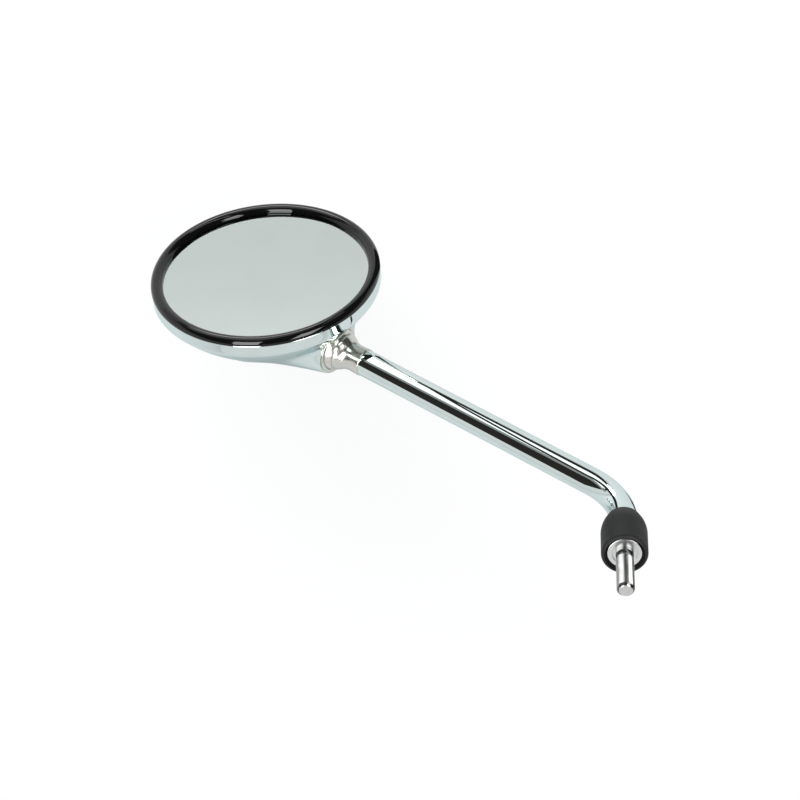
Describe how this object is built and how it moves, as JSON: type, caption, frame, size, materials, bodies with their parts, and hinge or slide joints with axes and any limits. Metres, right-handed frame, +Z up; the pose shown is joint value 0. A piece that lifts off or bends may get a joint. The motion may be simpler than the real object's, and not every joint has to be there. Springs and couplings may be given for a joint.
{
  "type": "motorcycle handlebar mirror",
  "caption": "Round rear-view mirror in a domed chrome shell with a black bezel, on a bent chrome stem with a ball joint, a rubber boot and a threaded mounting stud.",
  "frame": {"origin": "centre of the steel seat face at the foot of the stem, on the stud's axis", "axes": "+Z up the stud's axis into the stem, the stem leans towards -X, the glass looks towards -Y"},
  "size_m": [0.2384, 0.0505, 0.2363],
  "materials": {
    "chrome": "polished chrome plate",
    "nickel": "polished nickel plate",
    "steel": "machined steel",
    "zinc": "bright zinc plate",
    "rubber": "matte moulded rubber",
    "acetal": "moulded",
    "mirror": "silvered convex glass",
    "bezel": "gloss black"
  },
  "bodies": {
    "stem": {"stem_tube": "chrome", "base_plug": "steel", "mounting_stud": "zinc", "rubber_boot": "rubber", "ball_neck": "nickel", "ball_screw": "steel"},
    "ball": {"swivel_ball": "nickel"},
    "cup": {"pressure_cup": "acetal"},
    "head": {"gland_ring": "nickel", "thrust_washer": "steel", "disc_spring": "steel", "shell": "chrome", "mirror_glass": "mirror", "glass_gasket": "rubber", "bezel": "bezel"}
  },
  "joints": [
    {"name": "head_spin", "type": "hinge", "parent": "stem", "child": "ball", "pos_m": [-0.13777, 0, 0.13348], "axis": [-0.832, 0, 0.5548], "continuous": true},
    {"name": "head_swing", "type": "hinge", "parent": "ball", "child": "cup", "pos_m": [-0.13777, 0, 0.13348], "axis": [-0.1182, -0.977, -0.1772], "range_deg": [-10, 10]},
    {"name": "head_nod", "type": "hinge", "parent": "cup", "child": "head", "pos_m": [-0.13777, 0, 0.13348], "axis": [-0.5421, 0.213, -0.8129], "range_deg": [-10, 10]}
  ]
}
